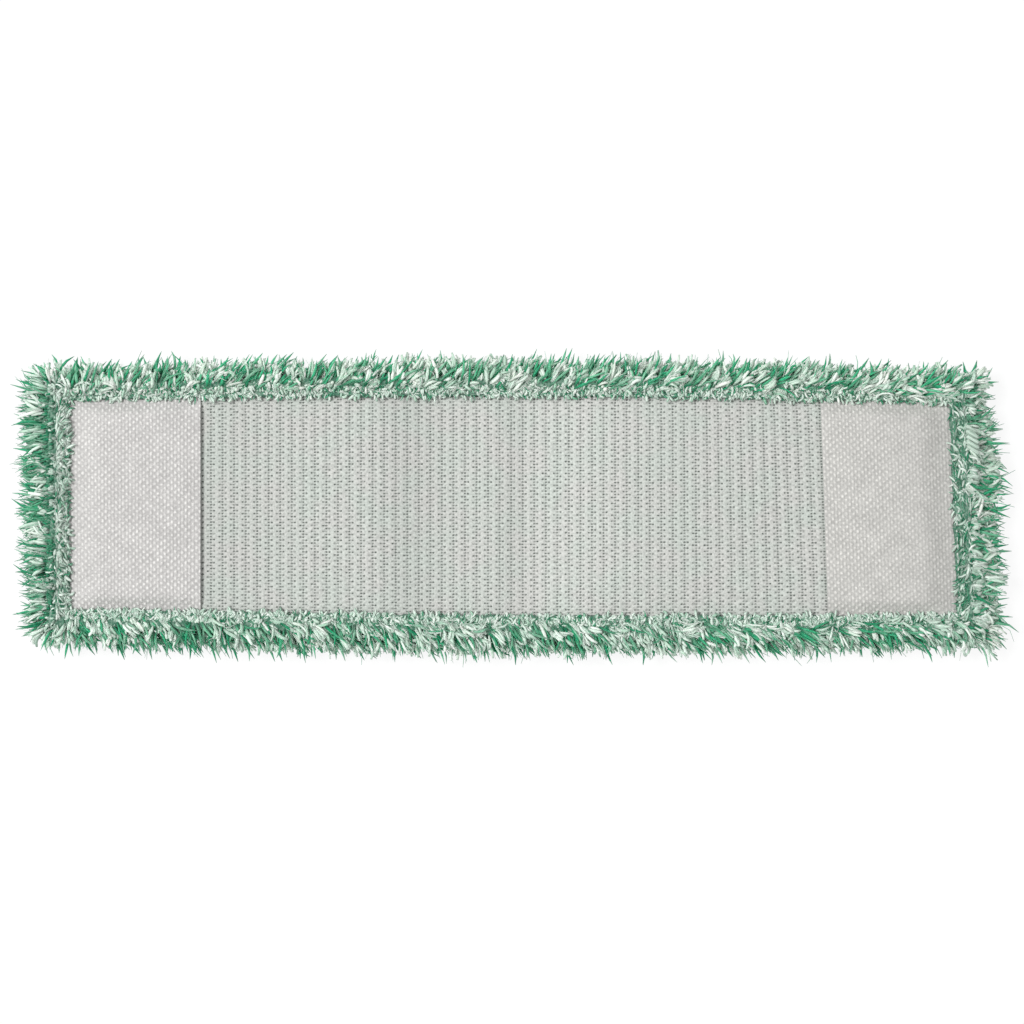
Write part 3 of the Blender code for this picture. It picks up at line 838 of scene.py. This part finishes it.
def mat(edge):
    draw = draws_for(edge, MAT_SEED)
    end = edge in HALVES
    reach = edge_half(edge) + HEM_WIDTH * (1.0 if end else 0.6)
    some = int(2 * reach / MM * (END_MAT if end else LONG_MAT))
    along = draw.uniform(-reach, reach, some)
    across = draw.uniform(MAT_START[edge], MAT_END[edge], some) * MM
    root = at_edge(edge, along, np.minimum(across, MAT_OUTER), hem_top(across) - MAT_SET)
    stray, curls, lengths, climbs, droops = END_LIE if end else LONG_LIE
    combed = 0
    if end:
        onwards = np.where(draw.random(some) < 0.5 + 0.5 * along / reach, 1, -1)
        combed = onwards * np.pi / 2 * -OUTWARD[edge][0]
    heading = combed + draw.normal(0, stray, some)
    curl, length = draw.normal(0, curls, some), draw.uniform(*lengths, some) * MM
    climb, droop = draw.uniform(*climbs, some), draw.uniform(*droops, some)
    green = np.interp(across / MM, [MAT_START[edge], MAT_END[edge]], MAT_GREEN[edge])
    green = patches(draw, root, green, MAT_CLUMP, MAT_SCATTER)
    locks = dict(root=root, heading=heading, climb=climb, length=length, curl=curl, droop=droop, green=green,
                 tone=draw.uniform(*MAT_TONE_AND_SHADE[edge], some),
                 stout=MAT_STOUT * draw.uniform(0.7, 1.3, some) * np.where(green, 1, FULLER))
    kept = end | (root[:, 0] > STRIP_FROM)
    locks = {key: values[kept] for key, values in locks.items()}
    return grow(f"{edge}_hem_pile", draw, locks, SHORT_LOCK, (0, 0), MAT_PALE, MAT_DEEP)


mats = {edge: mat(edge) for edge in OUTWARD}


# Fringe
# The locks that stand out round the edge in rows like thatch, longer on the ends, swept right on the sides.
# Green locks close to a point, white ones open into a brush, and single fibres fly out past them.
FRINGE_STOUT = 0.92 * MM
FRINGE_FULLER = 1.4  # likewise for its white locks
SIDE_ROWS = (  # across from the hem's inner edge, height, share of the reach, green, locks a mm, and lean
    (3.8, 15.2, 0.52, 0.60, 0.65, 0.23),
    (5.6, 16.2, 0.64, 0.68, 0.68, 0.26),
    (7.4, 16.2, 0.76, 0.67, 0.68, 0.26),
    (9.0, 14.6, 0.87, 0.61, 0.68, 0.21),
    (10.8, 13.2, 0.96, 0.46, 0.60, 0.16),
    (12.0, 10.8, 1.04, 0.42, 0.55, 0.08),
    (9.4, 9.0, 1.02, 0.52, 0.55, 0.02),
    (9.3, 6.0, 0.94, 0.56, 0.50, -0.09),
)
END_ROWS = (
    (9.2, 9.6, 0.72, 0.72, 0.80, 0.04),
    (9.2, 9.0, 0.86, 0.68, 0.95, 0.02),
    (12.5, 8.8, 0.97, 0.60, 0.85, 0.01),
    (9.4, 7.6, 1.00, 0.58, 0.95, -0.03),
    (9.4, 6.0, 1.02, 0.60, 0.85, -0.09),
    (9.3, 4.5, 0.94, 0.64, 0.75, -0.12),
)
LEFT_WALL = (  # likewise, the short locks that hang down the wall of an end hem
    (7.0, 16.3, 0.38, 0.78, 2.30, -0.42),
    (8.6, 14.9, 0.46, 0.85, 2.20, -0.65),
    (9.3, 12.2, 0.48, 0.85, 1.50, -0.70),
)
RIGHT_WALL = (
    (7.9, 13.0, 0.54, 0.72, 1.20, -0.25),
    (8.9, 11.8, 0.60, 0.72, 1.40, -0.35),
    (9.3, 10.2, 0.62, 0.72, 1.30, -0.40),
)
PALER = {"back": 0.05, "front": 0.02, "left": -0.10, "right": 0.17}  # share of green locks taken off its rows
RAISED = {"right": 3.6 * MM}  # the right end lies higher
# range of tone of each edge's fringe, the lower ranges on the front and the left end being painted shade
FRINGE_TONE_AND_SHADE = {"back": (0.0, 1.0), "front": (-0.3, 0.7), "left": (-0.5, 0.5), "right": (0.0, 1.0)}
# likewise for the locks down the end walls: painted shade in the left crevice, less of it on the right
WALL_TONE_AND_SHADE = {"left": (-0.8, -0.4), "right": (-0.3, 0.5)}
FRINGE_CLUMP = 4.5 * MM
FRINGE_FIBRES = (0.4, 0.5)
FRINGE_BRUSH = 3
RAGGED = 3.9 * MM  # how the clumps differ in length
SIDE_SWEEP = ((-0.211, -0.204, -0.19, -0.10, 0.05, 0.15, 0.21),  # place along, and heading there
              (2.35, 1.75, 1.28, 1.02, 0.88, 0.62, 0.45))
SIDE_REACH = {"back": 18.4 * MM, "front": 20.2 * MM}  # how far out the locks reach
LEFT_REACH = ((-0.066, -0.050, -0.030, 0.045, 0.055, 0.062),  # place along in m, and reach there in mm
              (21.2, 23.6, 25.6, 26.4, 25.0, 21.2))
RIGHT_REACH = ((-0.066, -0.058, -0.040, -0.015, -0.003, 0.010, 0.020, 0.030, 0.040, 0.052, 0.062),
               (23.4, 26.0, 28.0, 29.5, 26.5, 29.8, 29.3, 27.4, 24.9, 22.4, 19.8))
LONGEST = {"back": 11.5, "front": 11.5, "left": 16.5, "right": 16.5}  # length of a lock, in mm
SHORTEST = 3
GREEN_LENGTH, PALE_LENGTH = 1.05, 0.70  # green locks are drawn out to their points
WILD = {"back": 0.28, "front": 0.28, "left": 0.16, "right": 0.42}  # how far locks stray from their heading
WILD_WAVE, RAGGED_WAVE = 9 * MM, 7 * MM
FACING_LEAST = 0.45  # cosine of the widest slant that a lock's length makes up for
ROW_ACROSS, ROW_HEIGHT = (-0.9, 0.5), (-1.0, 0.8)  # how far in mm a root lies off its row
ROW_ROUND = 0.95  # how far a row runs on round the mitre, as a share of its place across
REACH_STRAY = 0.8 * MM
FRINGE_CLIMB, FRINGE_CURL = 0.12, 0.25  # how far they stray from a row's
FRINGE_DROOP = (0.35, 0.3, 0.2)  # least, more for a row that reaches far, and stray
FRINGE_SCATTER = 0.6
FRINGE_SEED = 51
END_FAN = 0.7  # how far the end locks turn out at the corners
FAN_FROM, FAN_RUN = 36 * MM, 26 * MM
UNDER_STRIP = 11 * MM  # below the left strip, and outside it, the long sides' fringe runs on round the corner
BESIDE_STRIP = 8.6 * MM
CURL_PLACE = (210 * MM, 37 * MM)
CURL_TURNS, CURL_STATIONS, CURL_SIDES = 4.6, 18, 7
CURL_PITCH = 2.35 * MM
CURL_WIDE, CURL_HIGH = 2.3 * MM, 1.0 * MM
CURL_LEAN = 0.8
CURL_THICK, CURL_FLAT = 0.82 * MM, 0.8
CURL_RISE = 1.3 * MM  # above the roll, on the pile
CURL_DYE, CURL_TONE = 0.22, -0.4


def sweep(edge, x, y):
    """The heading that the locks are combed to at a place, and how far out they reach there."""
    if edge in SIDE_REACH:
        heading = np.interp(x, *SIDE_SWEEP)
        return (heading if edge == "back" else -heading), np.full(len(x), SIDE_REACH[edge])
    fan = END_FAN * np.sign(y) * np.clip((np.abs(y) - FAN_FROM) / FAN_RUN, 0, 1)**1.5
    if edge == "left":
        return np.pi - fan, np.interp(y, *LEFT_REACH) * MM
    return fan, np.interp(y, *RIGHT_REACH) * MM


def fringe_row(draw, edge, tones, across, height, share, green, density, lean):
    """One row of locks along an edge: where each grows, which way it lies and how long it is."""
    wild = WILD[edge]
    out = np.arctan2(*OUTWARD[edge][::-1])
    span = edge_half(edge) + across * MM * ROW_ROUND
    some = int(2 * span / MM * density)
    along = (np.arange(some) + draw.uniform(-0.6, 0.6, some) + 0.5) / some * 2 * span - span
    off = (across + draw.uniform(*ROW_ACROSS, some)) * MM
    raised = RAISED.get(edge, 0) + (height + draw.uniform(*ROW_HEIGHT, some)) * MM
    root = at_edge(edge, along, off, raised)
    x, y = root[:, 0], root[:, 1]
    heading, reach = sweep(edge, x, y)
    heading = heading + 0.9 * wild * ripple(draw, x, y, WILD_WAVE) + draw.normal(0, wild, some)
    facing = np.clip(np.cos(heading - out), FACING_LEAST, 1)
    reach = reach * share + RAGGED * ripple(draw, x, y, RAGGED_WAVE) + draw.normal(0, REACH_STRAY, some)
    is_green = patches(draw, root, green - PALER[edge], FRINGE_CLUMP, FRINGE_SCATTER)
    length = np.clip((reach - off) / facing, SHORTEST * MM, LONGEST[edge] * MM)
    return dict(
        root=root,
        heading=heading,
        climb=lean + draw.normal(0, FRINGE_CLIMB, some),
        length=length * np.where(is_green, GREEN_LENGTH, PALE_LENGTH),
        curl=draw.normal(0, FRINGE_CURL + wild, some),
        droop=FRINGE_DROOP[0] + FRINGE_DROOP[1] * share + draw.normal(0, FRINGE_DROOP[2], some),
        stout=FRINGE_STOUT * draw.uniform(0.7, 1.25, some) * np.where(is_green, 1, FRINGE_FULLER),
        green=is_green,
        tone=draw.uniform(*tones, some))


def fringe(edge):
    draw = draws_for(edge, FRINGE_SEED)
    end = edge in HALVES
    rows = [fringe_row(draw, edge, FRINGE_TONE_AND_SHADE[edge], *row) for row in (END_ROWS if end else SIDE_ROWS)]
    if end:
        wall = LEFT_WALL if edge == "left" else RIGHT_WALL
        rows += [fringe_row(draw, edge, WALL_TONE_AND_SHADE[edge], *row) for row in wall]
    locks = {key: np.concatenate([row[key] for row in rows]) for key in rows[0]}
    x, y, z = locks["root"].T
    kept = end | (x > STRIP_FROM) | (z < UNDER_STRIP) | (np.abs(y) > bed_y + BESIDE_STRIP)
    return grow(f"{edge}_fringe", draw, {key: values[kept] for key, values in locks.items()},
                LONG_LOCK, FRINGE_FIBRES, brush=FRINGE_BRUSH)


def curled_yarn():
    """A loose end of white yarn on the right hem, twisted so hard that it has curled up into a coil."""
    turns = np.linspace(0, CURL_TURNS, int(CURL_TURNS * CURL_STATIONS))
    side = CURL_WIDE * np.cos(2 * np.pi * turns)
    rise = CURL_RISE + CURL_HIGH * (1 + np.sin(2 * np.pi * turns))
    line = np.stack([CURL_PLACE[0] + side,
                     CURL_PLACE[1] - CURL_PITCH * turns - CURL_LEAN * side,
                     hem_top(CURL_PLACE[0] - CURL_WIDE - bed_x) + rise], -1)
    radius = CURL_THICK * np.minimum(1, 0.3 + 2 * np.minimum(turns, CURL_TURNS - turns))
    dye, tone = np.full(1, CURL_DYE), np.full(1, CURL_TONE)
    return spin("curled_yarn", yarn, (line[None], radius[None], dye, tone, CURL_SIDES, CURL_FLAT))


coil = curled_yarn()
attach(coil, RIGHT)
for edge in OUTWARD:
    locks = fringe(edge)
    for grown in (mats[edge], locks):
        if edge in HALVES:
            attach(grown, f"{edge}_half")
        else:
            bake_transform(grown)
    2 * edge_half(edge) + HEM_WIDTH
    [mats[edge], locks] + [coil] * (edge == "right")


# Stage
# A white sweep with a large soft lamp on the left, seen from straight above.
FLOOR_HALF = 4.0
VIEW_HEIGHT = 1.6
VIEW_WIDTH = 465.6 * MM  # seen at the height of the knit face
VIEW_CENTRE = (0.34 * MM, -2.26 * MM)
SENSOR = 36.0
SKY = 0.64
LAMP_PLACE = (-3.1, 0.9, 4.6)
LAMP_SIZE = 2.1
LAMP_POWER = 240.0
FLOOR_SHOWN_WHITE = 0.88  # share of the floor that is plain white to the eye, the rest takes the shadow

bpy.ops.mesh.primitive_plane_add(size=2 * FLOOR_HALF)
floor = bpy.context.object
floor.name = "white_floor"
paper, start = textile("white_paper", 0.9)
paper.node_tree.nodes["Principled BSDF"].inputs["Base Color"].default_value = (1, 1, 1, 1)
ray = start.made("ShaderNodeLightPath", {}, {}, "Is Camera Ray")
seen = (ray + ray.beside("Is Glossy Ray") + ray.beside("Is Transmission Ray")) * FLOOR_SHOWN_WHITE
glow = start.made("ShaderNodeEmission", {}, {"Strength": 1.0})
both = start.made("ShaderNodeMixShader", {}, {0: seen, 1: start, 2: glow})
paper.node_tree.links.new(both.socket, paper.node_tree.nodes["Material Output"].inputs["Surface"])
floor.data.materials.append(paper)

world = bpy.data.worlds.new("soft_room")
bpy.context.scene.world = world
world.use_nodes = True
sky = Reading(world.node_tree.nodes["Background"].outputs[0])
ray = sky.made("ShaderNodeLightPath", {}, {}, "Is Camera Ray")
sky.socket.node.inputs["Color"].default_value = (1, 1, 1, 1)
world.node_tree.links.new((SKY + (1 - SKY) * ray).socket, sky.socket.node.inputs["Strength"])

lamp = bpy.data.lights.new("left_lamp", "AREA")
lamp.shape = "DISK"
lamp.size = LAMP_SIZE
lamp.energy = LAMP_POWER
lamp_object = bpy.data.objects.new("left_lamp", lamp)
lamp_object.location = LAMP_PLACE
lamp_object.rotation_euler = (-lamp_object.location).to_track_quat("-Z", "Y").to_euler()
bpy.context.scene.collection.objects.link(lamp_object)

lens = bpy.data.cameras.new("above")
lens.sensor_width = SENSOR
lens.lens = SENSOR * (VIEW_HEIGHT - KNIT_FACE) / VIEW_WIDTH
camera = bpy.data.objects.new("above", lens)
camera.location = (*VIEW_CENTRE, VIEW_HEIGHT)
bpy.context.scene.collection.objects.link(camera)
bpy.context.scene.camera = camera
bpy.context.scene.view_settings.view_transform = "Standard"
